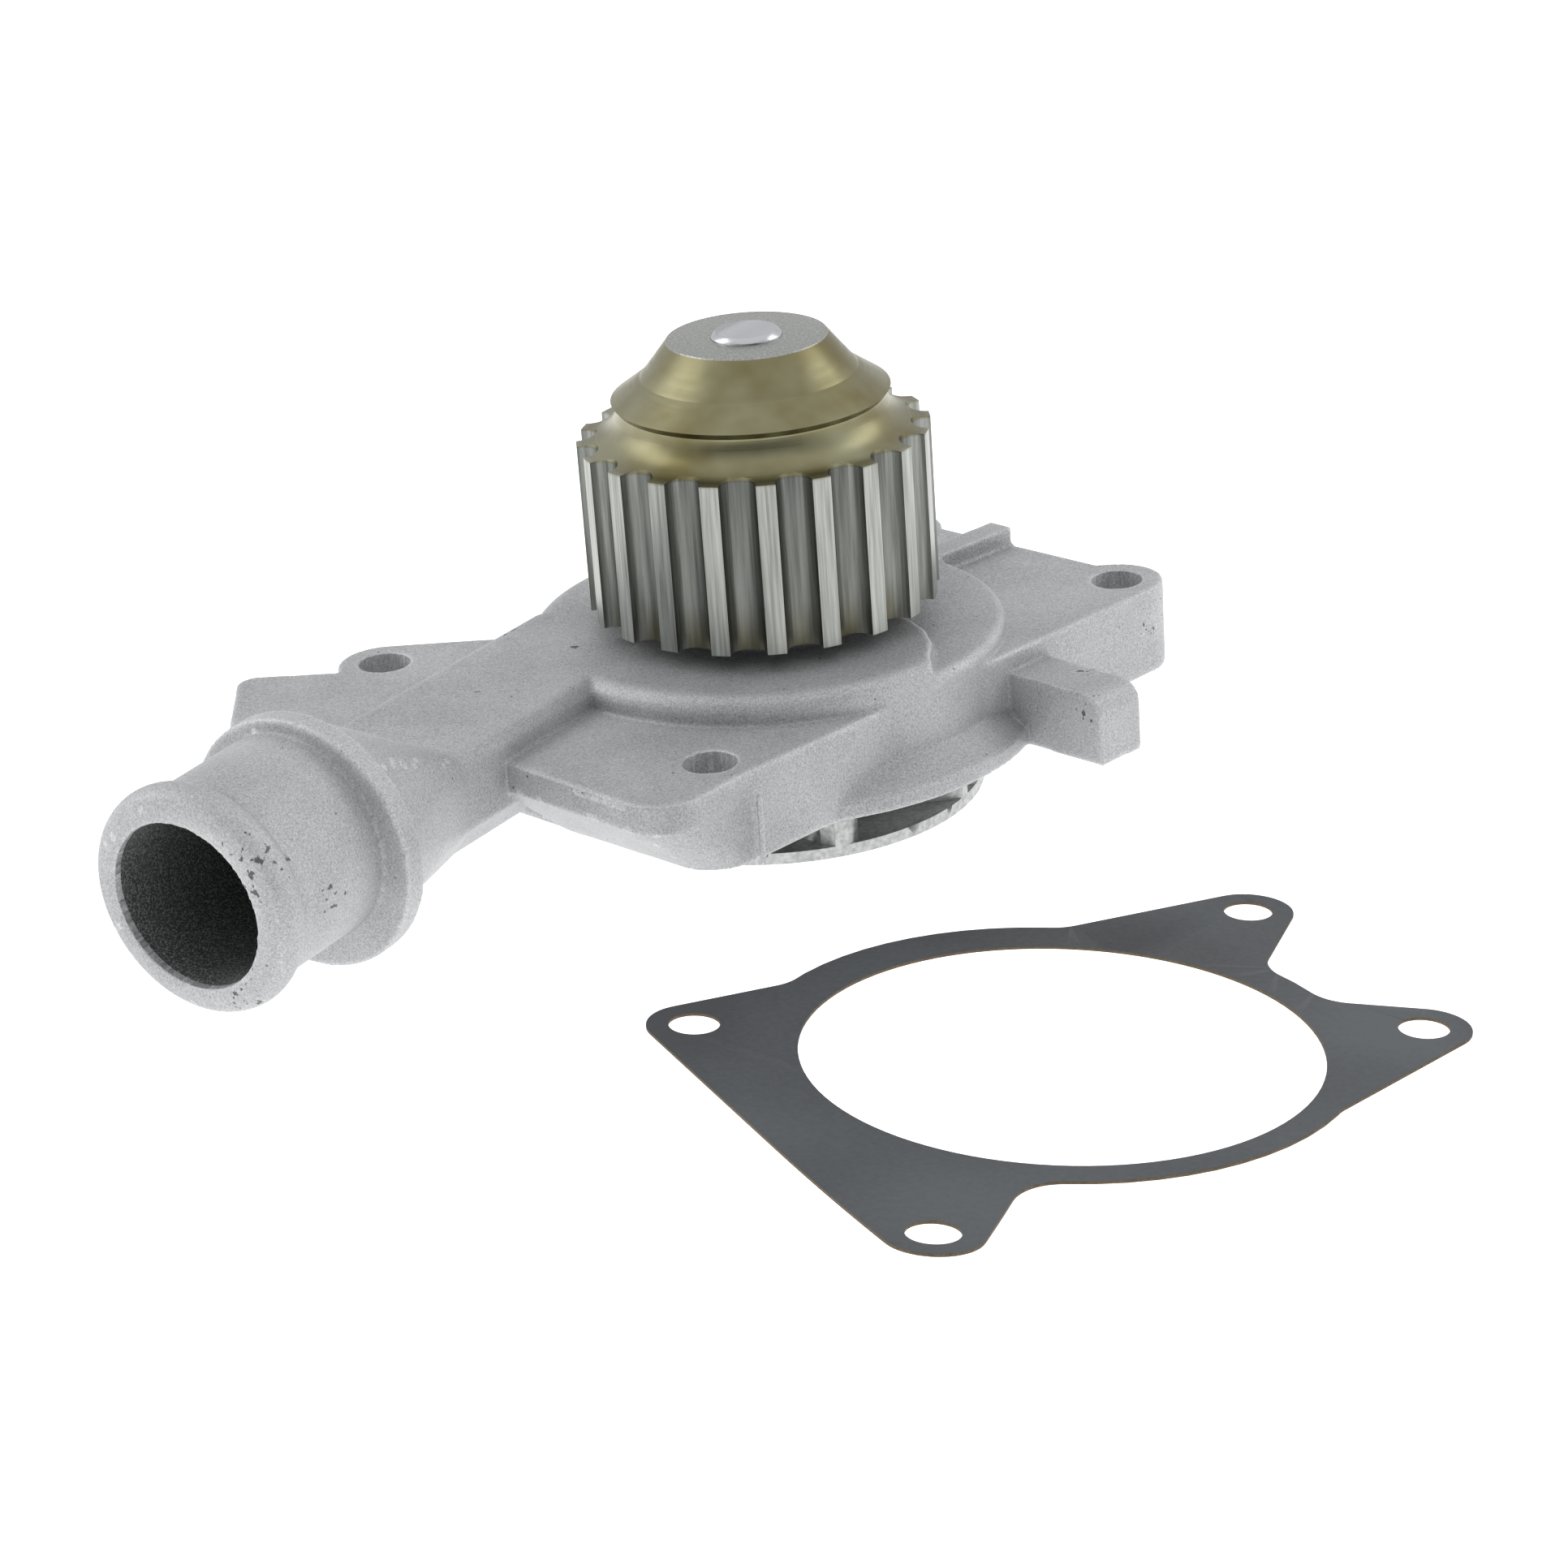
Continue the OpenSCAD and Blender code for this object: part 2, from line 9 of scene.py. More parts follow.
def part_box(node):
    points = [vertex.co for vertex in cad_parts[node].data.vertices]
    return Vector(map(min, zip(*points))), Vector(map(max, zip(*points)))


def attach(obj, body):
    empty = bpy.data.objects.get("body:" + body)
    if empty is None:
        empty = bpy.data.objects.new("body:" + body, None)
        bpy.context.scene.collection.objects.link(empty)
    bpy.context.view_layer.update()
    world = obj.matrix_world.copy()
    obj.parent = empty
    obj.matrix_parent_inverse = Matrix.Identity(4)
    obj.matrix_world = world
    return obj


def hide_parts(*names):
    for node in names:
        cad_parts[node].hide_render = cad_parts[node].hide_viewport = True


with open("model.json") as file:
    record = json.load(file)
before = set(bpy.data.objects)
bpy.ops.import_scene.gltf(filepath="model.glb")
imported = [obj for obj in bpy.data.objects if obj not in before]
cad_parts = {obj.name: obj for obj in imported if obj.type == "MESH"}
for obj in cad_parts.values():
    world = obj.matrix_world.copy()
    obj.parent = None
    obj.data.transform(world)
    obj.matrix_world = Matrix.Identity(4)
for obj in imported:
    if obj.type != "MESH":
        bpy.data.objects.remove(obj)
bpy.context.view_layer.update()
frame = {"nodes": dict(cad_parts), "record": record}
MM = 0.001

# ---- camera ----
# A long lens about 0.7 m from the pump, looking down on it past its hose spigot.

camera = bpy.data.objects.new("camera", bpy.data.cameras.new("camera"))
bpy.context.scene.collection.objects.link(camera)
camera.data.sensor_width = 36
camera.data.lens = 92.53
look = Vector((0, 0.91981, -0.39237))
up = Vector((0.07211, 0.39135, 0.91741))
right = look.cross(up)
camera.matrix_world = Matrix((
    (right.x, up.x, -look.x, 0.85 * MM),
    (right.y, up.y, -look.y, -642.17 * MM),
    (right.z, up.z, -look.z, 261.94 * MM),
    (0, 0, 0, 1),
))
bpy.context.scene.camera = camera

# ---- table and light ----
# The pump leans on its spigot, so the white table is tilted a little against the shaft.
# The light is a white tent, open and dark on the viewer's side: that dark side shades the
# faces that look out of the tent, and the bare metal mirrors it.

lean_x, lean_y = math.radians(-2.37), math.radians(4.24)
slope_x = -math.tan(lean_y) / math.cos(lean_x)
slope_y = math.tan(lean_x)
spigot_drop = 1.9 * MM
impeller_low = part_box("impeller")[0]
table_z = impeller_low.z + impeller_low.x * math.hypot(slope_x, slope_y) - spigot_drop


def table_height(x, y):
    return table_z + slope_x * x + slope_y * y


def add_mesh(name, points, faces):
    mesh = bpy.data.meshes.new(name)
    mesh.from_pydata(points, [], faces)
    mesh.update()
    made = bpy.data.objects.new(name, mesh)
    bpy.context.scene.collection.objects.link(made)
    return made


half = 3.0
table = add_mesh(
    "table",
    [(x, y, table_height(x, y)) for x, y in ((-half, -half), (half, -half), (half, half), (-half, half))],
    [(0, 1, 2, 3)],
)


def linear(colour):
    """One sRGB hex colour as the linear colour that a shader takes."""
    parts = [int(colour[i:i + 2], 16) / 255 for i in (1, 3, 5)]
    return [c / 12.92 if c <= 0.04045 else ((c + 0.055) / 1.055) ** 2.4 for c in parts] + [1]


def add_node(tree, kind, settings=None, links=None):
    """Adds a node, sets its properties and sockets, and links its inputs."""
    node = tree.nodes.new(kind)
    for key, value in (settings or {}).items():
        if isinstance(key, str) and hasattr(node, key):
            setattr(node, key, value)
        else:
            node.inputs[key].default_value = value
    for key, source in (links or {}).items():
        tree.links.new(source, node.inputs[key])
    return node


def new_material(name):
    material = bpy.data.materials.new(name)
    material.use_nodes = True
    material.node_tree.nodes.clear()
    return material, material.node_tree


# white card: even and matt, lit past white so that it reads as clear background
card, tree = new_material("white_card")
surface = add_node(tree, "ShaderNodeEmission", {"Color": linear("#ffffff"), "Strength": 1.65})
add_node(tree, "ShaderNodeOutputMaterial", links={"Surface": surface.outputs[0]})
table.data.materials.append(card)

world = bpy.data.worlds.new("tent")
world.use_nodes = True
bpy.context.scene.world = world
tree = world.node_tree
tree.nodes.clear()
direction = add_node(tree, "ShaderNodeTexCoord").outputs["Generated"]
toward = add_node(tree, "ShaderNodeSeparateXYZ", links={"Vector": direction})
sideways = add_node(tree, "ShaderNodeMath", {"operation": "ABSOLUTE"}, {0: toward.outputs[0]}).outputs[0]
side = add_node(tree, "ShaderNodeMapRange", {1: 0.45, 2: 0.9}, {0: sideways}).outputs[0]
high = add_node(tree, "ShaderNodeMapRange", {1: 0.4, 2: 0.85}, {0: toward.outputs[2]}).outputs[0]
cloth = add_node(tree, "ShaderNodeMath", {"operation": "MAXIMUM"}, {0: side, 1: high}).outputs[0]
depth = add_node(tree, "ShaderNodeMapRange", {1: -0.35, 2: 0.6, 3: 0.12, 4: 0.85},
                 {0: toward.outputs[1]}).outputs[0]
power = add_node(tree, "ShaderNodeMix", {3: 1.1}, {0: cloth, 2: depth}).outputs[0]
sky = add_node(tree, "ShaderNodeBackground", {"Color": linear("#fdfdff")}, {"Strength": power})
add_node(tree, "ShaderNodeOutputWorld", links={"Surface": sky.outputs[0]})


def soft_box(name, place, target, size, power):
    lamp = bpy.data.objects.new(name, bpy.data.lights.new(name, "AREA"))
    bpy.context.scene.collection.objects.link(lamp)
    lamp.data.shape = "RECTANGLE"
    lamp.data.size, lamp.data.size_y = size
    lamp.data.energy = power
    lamp.location = place
    lamp.rotation_euler = (Vector(target) - Vector(place)).to_track_quat("-Z", "Y").to_euler()
    return lamp


soft_box("left_box", (-0.75, 0.15, 0.55), (0, 0, 0), (0.5, 0.7), 2.2)
soft_box("right_box", (0.8, 0.25, 0.5), (0, 0, 0), (0.4, 0.6), 1.6)

# the grey view transform would dull the white tent
bpy.context.scene.view_settings.view_transform = "Standard"

# ---- pump housing ----
# One aluminium pressure die casting, shot-blasted after trimming: ears, dome, duct and
# spigot in one piece, every inner corner filleted. Only the bolt holes and the spigot's
# bore are cut true afterwards, so only they have crisp edges.

voxel = 0.4 * MM
rounding_passes = 5


def apply_modifiers(obj):
    graph = bpy.context.evaluated_depsgraph_get()
    mesh = bpy.data.meshes.new_from_object(obj.evaluated_get(graph))
    obj.modifiers.clear()
    obj.data = mesh
    return obj


def copy_of(node, name):
    made = bpy.data.objects.new(name, frame["nodes"][node].data.copy())
    bpy.context.scene.collection.objects.link(made)
    return made


housing = copy_of("pump_housing", "housing_casting")

# the die's upright parting lines leave a thin seam on the front ear and on the right ear
bm = bmesh.new()
bm.from_mesh(housing.data)
seam_w = 1.0 * MM
wall_heading = math.radians(43)
for x, y, tall in ((-3.2, -60.1, 12.1), (64.6, 11.4, 12.7)):
    seam = Matrix.Translation(Vector((x, y, tall / 2)) * MM) @ Matrix.Rotation(wall_heading, 4, "Z")
    bmesh.ops.create_cube(bm, size=1, matrix=seam @ Matrix.Diagonal((seam_w, seam_w, tall * MM, 1)))
bm.to_mesh(housing.data)
bm.free()
remesh = housing.modifiers.new("skin", "REMESH")
remesh.mode = "VOXEL"
remesh.voxel_size = voxel
remesh.use_smooth_shade = True
smooth = housing.modifiers.new("cast_fillets", "SMOOTH")
smooth.factor = 0.5
smooth.iterations = rounding_passes
apply_modifiers(housing)


def drill(target, name, place, axis, radius, length, sides=64):
    """Adds the cut for a true round hole: place is the middle of the cutter."""
    bm = bmesh.new()
    bmesh.ops.create_cone(bm, cap_ends=True, segments=sides, radius1=radius, radius2=radius, depth=length)
    turn = Vector(axis).to_track_quat("Z", "Y").to_matrix().to_4x4()
    bm.transform(Matrix.Translation(Vector(place)) @ turn)
    mesh = bpy.data.meshes.new(name)
    bm.to_mesh(mesh)
    bm.free()
    cutter = bpy.data.objects.new(name, mesh)
    bpy.context.scene.collection.objects.link(cutter)
    cut = target.modifiers.new(name, "BOOLEAN")
    cut.operation = "DIFFERENCE"
    cut.solver = "MANIFOLD"
    cut.object = cutter
    return cutter


mounts = {m["name"]: m for m in frame["record"]["mounts"]}
hole_skin = 0.12 * MM
bolt_drill, port_drill, port_drill_depth = 40 * MM, 34 * MM, 14 * MM
cutters = []
for ear in ("front", "left", "right", "back"):
    mount = mounts["bolt_" + ear]
    middle = Vector(mount["pos_m"]) - Vector((0, 0, mount["dims"]["length_mm"] * MM / 2))
    radius = mount["dims"]["r_mm"] * MM + hole_skin
    cutters.append(drill(housing, "hole_" + ear, middle, (0, 0, 1), radius, bolt_drill))
port = mounts["coolant_port"]
port_axis = Vector(port["axis"])
cutters.append(drill(housing, "port", Vector(port["pos_m"]) - port_axis * port_drill_depth, port_axis,
                     port["dims"]["r_mm"] * MM + hole_skin, port_drill, 96))
apply_modifiers(housing)
for cutter in cutters:
    bpy.data.objects.remove(cutter)

# Pressure die-cast aluminium, shot-blasted: a fine, even, matt grain, painted shade darkening the hollows,
# lighter convex edges, and a few dark pores and scuffs from handling.
casting, tree = new_material("shot_blasted_die_cast_aluminium")
place = add_node(tree, "ShaderNodeTexCoord").outputs["Object"]
shot_mark = 0.32 * MM
grain = add_node(tree, "ShaderNodeTexNoise", {"Scale": 1 / shot_mark, "Detail": 2.0, "Roughness": 0.6},
                 {"Vector": place}).outputs["Fac"]
cloud = add_node(tree, "ShaderNodeTexNoise", {"Scale": 1 / (22 * MM), "Detail": 4.0},
                 {"Vector": place}).outputs["Fac"]
tone = add_node(tree, "ShaderNodeMath", {"operation": "MULTIPLY_ADD", 1: 2.2},
                {0: grain, 2: cloud}).outputs[0]
tone = add_node(tree, "ShaderNodeMapRange", {1: 0.9, 2: 2.3}, {0: tone}).outputs[0]
shade = add_node(tree, "ShaderNodeValToRGB", links={"Fac": tone})
shade.color_ramp.elements[0].position = 0.0
shade.color_ramp.elements[0].color = linear("#838586")
shade.color_ramp.elements[1].position = 1.0
shade.color_ramp.elements[1].color = linear("#c9cacb")
# painted shade: pointiness darkens the colour in the hollows and lightens it on the convex edges
edge = add_node(tree, "ShaderNodeNewGeometry").outputs["Pointiness"]
painted_shade_hollows_lighter_edges = add_node(tree, "ShaderNodeMapRange", {1: 0.42, 2: 0.56, 3: 0.62, 4: 1.25}, {0: edge}).outputs[0]
base = add_node(tree, "ShaderNodeMix", {"data_type": "RGBA", "blend_type": "MULTIPLY", 0: 1.0},
                {6: shade.outputs[0], 7: painted_shade_hollows_lighter_edges}).outputs[2]
# scuffs, each a place and a reach in millimetres: bead, spigot, lug, right ear, duct
handling = (
    ((-77.5, -98.5, 22.5), 8.5), ((-82, -96, 2), 6), ((-68, -89.4, 13), 4.5),
    ((52, -29, 9.5), 4.5), ((51.5, -17, 12), 3.5), ((67, 9.5, 9), 6),
    ((-45, 1, 20.3), 7), ((-33, -12, 20), 4),
)
fleck = add_node(tree, "ShaderNodeTexNoise", {"Scale": 1 / (1.3 * MM), "Detail": 3.0},
                 {"Vector": place}).outputs["Fac"]
scuff = None
for middle, reach in handling:
    away = add_node(tree, "ShaderNodeVectorMath", {"operation": "DISTANCE", 1: [c * MM for c in middle]},
                    {0: place}).outputs["Value"]
    near = add_node(tree, "ShaderNodeMapRange", {1: reach * MM, 2: reach * 0.4 * MM, 4: 0.13},
                    {0: away}).outputs[0]
    scuff = near if scuff is None else add_node(tree, "ShaderNodeMath", {"operation": "MAXIMUM"},
                                                {0: scuff, 1: near}).outputs[0]
scuff = add_node(tree, "ShaderNodeMath", {"operation": "ADD"}, {0: scuff, 1: fleck}).outputs[0]
scuff = add_node(tree, "ShaderNodeMapRange", {1: 0.72, 2: 0.76, 4: 0.8}, {0: scuff}).outputs[0]
base = add_node(tree, "ShaderNodeMix", {"data_type": "RGBA", 7: linear("#2f2f2e")},
                {0: scuff, 6: base}).outputs[2]
bump = add_node(tree, "ShaderNodeBump", {"Strength": 0.6, "Distance": 0.12 * MM}, {"Height": grain})
surface = add_node(tree, "ShaderNodeBsdfPrincipled", {"Metallic": 0.5, "Roughness": 0.6},
                   {"Base Color": base, "Normal": bump.outputs[0]})
add_node(tree, "ShaderNodeOutputMaterial", links={"Surface": surface.outputs[0]})
housing.data.materials.clear()
housing.data.materials.append(casting)

# Painted shade in the spigot's bore: a dark, rough liner just inside the bore wall stands in for its shade.
painted_bore_shade, tree = new_material("painted_bore_shade_on_aluminium")
place = add_node(tree, "ShaderNodeTexCoord").outputs["Object"]
speck = add_node(tree, "ShaderNodeTexNoise", {"Scale": 1 / shot_mark, "Detail": 2.0},
                 {"Vector": place}).outputs["Fac"]
shade = add_node(tree, "ShaderNodeValToRGB", links={"Fac": speck})
shade.color_ramp.elements[0].position = 0.45
shade.color_ramp.elements[0].color = linear("#454a48")
shade.color_ramp.elements[1].position = 0.75
shade.color_ramp.elements[1].color = linear("#9da1a0")
bump = add_node(tree, "ShaderNodeBump", {"Strength": 0.6, "Distance": 0.1 * MM}, {"Height": speck})
surface = add_node(tree, "ShaderNodeBsdfPrincipled", {"Metallic": 0.3, "Roughness": 0.7},
                   {"Base Color": shade.outputs[0], "Normal": bump.outputs[0]})
add_node(tree, "ShaderNodeOutputMaterial", links={"Surface": surface.outputs[0]})
housing.data.materials.append(painted_bore_shade)
bm = bmesh.new()
bm.from_mesh(housing.data)
port_turn = port_axis.to_track_quat("Z", "Y").to_matrix()
# the liner of painted shade: a dark tube just inside the bore wall, from 1.4 mm to 31 mm deep
rounds, shade_liner_start, shade_liner_end, shade_liner_steps = 96, 1.4, 31, 12
shade_liner_gap = 0.05 * MM
turns = [2 * math.pi * k / rounds for k in range(rounds)]
radius = port["dims"]["r_mm"] * MM + hole_skin - shade_liner_gap
shade_liner_rings = []
for step in range(shade_liner_steps + 1):
    depth = shade_liner_start + step * (shade_liner_end - shade_liner_start) / shade_liner_steps
    shade_liner_rings.append([bm.verts.new(
        Vector(port["pos_m"]) - port_axis * depth * MM
        + port_turn @ Vector((math.cos(turn), math.sin(turn), 0)) * radius
    ) for turn in turns])
for near, far in zip(shade_liner_rings, shade_liner_rings[1:]):
    for k in range(rounds):
        face = bm.faces.new((near[k], far[k], far[(k + 1) % rounds], near[(k + 1) % rounds]))
        face.material_index = 1
bm.to_mesh(housing.data)
bm.free()
for face in housing.data.polygons:
    face.use_smooth = True
housing.data.set_sharp_from_angle(angle=math.radians(50))
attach(housing, "housing")
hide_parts("pump_housing")

# ---- drive pulley ----
# Steel timing-belt pulley, sintered with its round grooves, then turned on the nose and
# zinc-plated with a yellow passivation. It is pressed on the shaft. Tooth edges are broken.

pulley_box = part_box("drive_pulley")
tooth_top = 52.7 * MM
nose_top = pulley_box[1].z

# Sintered steel, sized along the shaft by the press tool: satin streaks run up and down.
# The yellow passivation shows on the turned nose and at the foot of the grooves.
tooth_steel, tree = new_material("sintered_turned_passivated_steel")
place = add_node(tree, "ShaderNodeTexCoord").outputs["Object"]
xyz = add_node(tree, "ShaderNodeSeparateXYZ", links={"Vector": place})
across = add_node(tree, "ShaderNodeCombineXYZ", links={"X": xyz.outputs[0], "Y": xyz.outputs[1]})
reach = add_node(tree, "ShaderNodeVectorMath", {"operation": "LENGTH"},
                 {0: across.outputs[0]}).outputs["Value"]
streak_width, streak_length = 0.5 * MM, 14 * MM
streak_scale = (1 / streak_width, 1 / streak_width, 1 / streak_length)
stretched = add_node(tree, "ShaderNodeMapping", {"Scale": streak_scale}, {"Vector": place}).outputs[0]
streak = add_node(tree, "ShaderNodeTexNoise", {"Scale": 1.0, "Detail": 3.0},
                  {"Vector": stretched}).outputs["Fac"]
along = add_node(tree, "ShaderNodeMath", {"operation": "ADD"}, {0: reach, 1: xyz.outputs[2]}).outputs[0]
turn_mark = 0.25 * MM
marks = add_node(tree, "ShaderNodeMath", {"operation": "MULTIPLY", 1: 1 / turn_mark}, {0: along}).outputs[0]
ring = add_node(tree, "ShaderNodeTexNoise", {"noise_dimensions": "1D", "Scale": 1.0, "Detail": 2.0},
                {"W": marks}).outputs["Fac"]
nose = add_node(tree, "ShaderNodeMapRange", {1: tooth_top - 0.4 * MM, 2: tooth_top + 0.2 * MM},
                {0: xyz.outputs[2]}).outputs[0]
texture = add_node(tree, "ShaderNodeMix", links={0: nose, 2: streak, 3: ring}).outputs[0]
steel = add_node(tree, "ShaderNodeValToRGB", links={"Fac": streak})
steel.color_ramp.elements[0].position = 0.32
steel.color_ramp.elements[0].color = linear("#83857f")
steel.color_ramp.elements[1].position = 0.68
steel.color_ramp.elements[1].color = linear("#a9aba7")
cloud = add_node(tree, "ShaderNodeTexNoise", {"Scale": 1 / (16 * MM), "Detail": 3.0},
                 {"Vector": place}).outputs["Fac"]
yellow = add_node(tree, "ShaderNodeValToRGB", links={"Fac": cloud})
yellow.color_ramp.elements[0].position = 0.35
yellow.color_ramp.elements[0].color = linear("#6c6544")
yellow.color_ramp.elements[1].position = 0.66
yellow.color_ramp.elements[1].color = linear("#8a886e")
foot = add_node(tree, "ShaderNodeMapRange", {1: 31 * MM, 2: 24 * MM}, {0: xyz.outputs[2]}).outputs[0]
hollow = add_node(tree, "ShaderNodeMapRange", {1: 28.2 * MM, 2: 26.6 * MM}, {0: reach}).outputs[0]
stain = add_node(tree, "ShaderNodeMath", {"operation": "MULTIPLY"}, {0: foot, 1: hollow}).outputs[0]
stain = add_node(tree, "ShaderNodeMath", {"operation": "MULTIPLY", 1: 0.8}, {0: stain}).outputs[0]
crown = add_node(tree, "ShaderNodeMapRange", {1: nose_top - 0.25 * MM, 2: nose_top - 0.1 * MM, 3: 1, 4: 0},
                 {0: xyz.outputs[2]}).outputs[0]
coat = add_node(tree, "ShaderNodeMath", {"operation": "MULTIPLY"}, {0: nose, 1: crown}).outputs[0]
tint = add_node(tree, "ShaderNodeMath", {"operation": "MAXIMUM"}, {0: stain, 1: coat}).outputs[0]
base = add_node(tree, "ShaderNodeMix", {"data_type": "RGBA"},
                {0: tint, 6: steel.outputs[0], 7: yellow.outputs[0]}).outputs[2]
# painted shade in the grooves: the colour darkens towards the groove roots, to half at the root, but not on
# the nose
groove = add_node(tree, "ShaderNodeMapRange", {1: 26.4 * MM, 2: 29.5 * MM, 3: 0.5, 4: 1.0},
                  {0: reach}).outputs[0]
groove = add_node(tree, "ShaderNodeMath", {"operation": "MAXIMUM"}, {0: groove, 1: nose}).outputs[0]
base = add_node(tree, "ShaderNodeMix", {"data_type": "RGBA", "blend_type": "MULTIPLY", 0: 1.0},
                {6: base, 7: groove}).outputs[2]
rough = add_node(tree, "ShaderNodeMapRange", {3: 0.26, 4: 0.42}, {0: texture}).outputs[0]
bump = add_node(tree, "ShaderNodeBump", {"Strength": 0.25, "Distance": 0.03 * MM}, {"Height": texture})
surface = add_node(tree, "ShaderNodeBsdfPrincipled", {"Metallic": 1.0},
                   {"Base Color": base, "Roughness": rough, "Normal": bump.outputs[0]})
add_node(tree, "ShaderNodeOutputMaterial", links={"Surface": surface.outputs[0]})


def dress(made, node, body, material):
    made.data.materials.clear()
    made.data.materials.append(material)
    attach(made, body)
    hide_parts(node)
    return made


def lathe(name, profile, rounds):
    """Turns a closed profile of radii and heights about the shaft's axis."""
    turns = [2 * math.pi * k / rounds for k in range(rounds)]
    points = [(r * math.cos(t) * MM, r * math.sin(t) * MM, z * MM) for t in turns for r, z in profile]
    count = len(profile)
    faces = [(k * count + i, (k + 1) % rounds * count + i, (k + 1) % rounds * count + (i + 1) % count,
              k * count + (i + 1) % count) for k in range(rounds) for i in range(count)]
    return add_mesh(name, points, faces)


nose_z = nose_top / MM
teeth_z, teeth_top = pulley_box[0].z / MM, tooth_top / MM
tip_r, cup_r, cup_top = 29.66, 22.49, 50.7
neck_r, neck_z, neck_bend = 28.8, nose_z - 9.9, 6.3
neck = [(neck_r + neck_bend * math.cos(math.radians(a)), neck_z + neck_bend * math.sin(math.radians(a)))
        for a in range(262, 186, -3)]
shaft_r, ring_r, step_r, nose_r = 6, 23.4, 18.2, 13.4
profile = [(shaft_r, cup_top), (cup_r, cup_top), (cup_r, teeth_z), (tip_r, teeth_z), (tip_r, teeth_top)]
profile += neck + [
    (ring_r, nose_z - 9.6), (step_r, nose_z - 6), (nose_r, nose_z), (shaft_r, nose_z)]
pulley = lathe("timing_pulley", profile, 240)
groove_r, groove_middle, first_tooth, teeth = 3.05, 29.41, -87.4, 20
cutters = []
for k in range(teeth):
    turn = math.radians(first_tooth + (k + 0.5) * 360 / teeth)
    middle = (groove_middle * math.cos(turn) * MM, groove_middle * math.sin(turn) * MM, (teeth_z + 14) * MM)
    cutters.append(drill(pulley, "groove", middle, (0, 0, 1), groove_r * MM, 32 * MM, 40))
edge_break = pulley.modifiers.new("edge_break", "BEVEL")
edge_break.width = 0.22 * MM
edge_break.segments = 2
edge_break.limit_method = "ANGLE"
edge_break.angle_limit = math.radians(13)
apply_modifiers(pulley)
for cutter in cutters:
    bpy.data.objects.remove(cutter)
for face in pulley.data.polygons:
    face.use_smooth = True
pulley.data.set_sharp_from_angle(angle=math.radians(20))
dress(pulley, "drive_pulley", "rotor", tooth_steel)

# ---- shaft ----
# Bearing steel, hardened and ground, with a chamfered end that stands out of the nose.
# The pulley and the impeller are pressed on it.


def weld_and_break_edges(obj, width, segments=2, angle=28):
    """Welds the CAD mesh and rounds its sharp edges by a real edge break."""
    weld = obj.modifiers.new("weld", "WELD")
    weld.merge_threshold = 0.002 * MM
    flat = obj.modifiers.new("flat_faces", "DECIMATE")
    flat.decimate_type = "DISSOLVE"
    flat.angle_limit = math.radians(0.3)
    bevel = obj.modifiers.new("edge_break", "BEVEL")
    bevel.width = width
    bevel.segments = segments
    bevel.limit_method = "ANGLE"
    bevel.angle_limit = math.radians(angle)
    bevel.harden_normals = True
    apply_modifiers(obj)
    for face in obj.data.polygons:
        face.use_smooth = True
    obj.data.set_sharp_from_angle(angle=math.radians(32))
    return obj


def dressed(node, name, body, material, edge_break):
    return dress(weld_and_break_edges(copy_of(node, name), edge_break), node, body, material)


ground_steel, tree = new_material("ground_bearing_steel")
place = add_node(tree, "ShaderNodeTexCoord").outputs["Object"]
wheel_mark = 0.3 * MM
scratch = add_node(tree, "ShaderNodeTexNoise", {"Scale": 1 / wheel_mark, "Detail": 2.0},
                   {"Vector": place}).outputs["Fac"]
rough = add_node(tree, "ShaderNodeMapRange", {3: 0.16, 4: 0.34}, {0: scratch}).outputs[0]
bump = add_node(tree, "ShaderNodeBump", {"Strength": 0.15, "Distance": 0.01 * MM}, {"Height": scratch})
surface = add_node(tree, "ShaderNodeBsdfPrincipled", {"Metallic": 1.0, "Base Color": linear("#b4b6b8")},
                   {"Roughness": rough, "Normal": bump.outputs[0]})
add_node(tree, "ShaderNodeOutputMaterial", links={"Surface": surface.outputs[0]})
dressed("pump_shaft", "spindle", "rotor", ground_steel, 0.12 * MM)

# ---- impeller ----
# Closed impeller, cast in aluminium and turned on its rim. It is pressed on the shaft's foot,
# and its vanes end at the rim, between the disc and the shroud.

turned_cast, tree = new_material("turned_cast_aluminium")
place = add_node(tree, "ShaderNodeTexCoord").outputs["Object"]
grain = add_node(tree, "ShaderNodeTexNoise", {"Scale": 1 / (0.8 * MM), "Detail": 3.0},
                 {"Vector": place}).outputs["Fac"]
shade = add_node(tree, "ShaderNodeValToRGB", links={"Fac": grain})
shade.color_ramp.elements[0].position = 0.35
shade.color_ramp.elements[0].color = linear("#9fa2a1")
shade.color_ramp.elements[1].position = 0.65
shade.color_ramp.elements[1].color = linear("#bec0bf")
bump = add_node(tree, "ShaderNodeBump", {"Strength": 0.2, "Distance": 0.05 * MM}, {"Height": grain})
surface = add_node(tree, "ShaderNodeBsdfPrincipled", {"Metallic": 0.7, "Roughness": 0.5},
                   {"Base Color": shade.outputs[0], "Normal": bump.outputs[0]})
add_node(tree, "ShaderNodeOutputMaterial", links={"Surface": surface.outputs[0]})
dressed("impeller", "closed_impeller", "rotor", turned_cast, 0.25 * MM)

# ---- flange gasket ----
# Punched from 0.5 mm aramid-fibre sheet with a nitrile binder: charcoal, matt and faintly
# mottled, with brown fibre showing on the cut edges. It lies loose on the table.

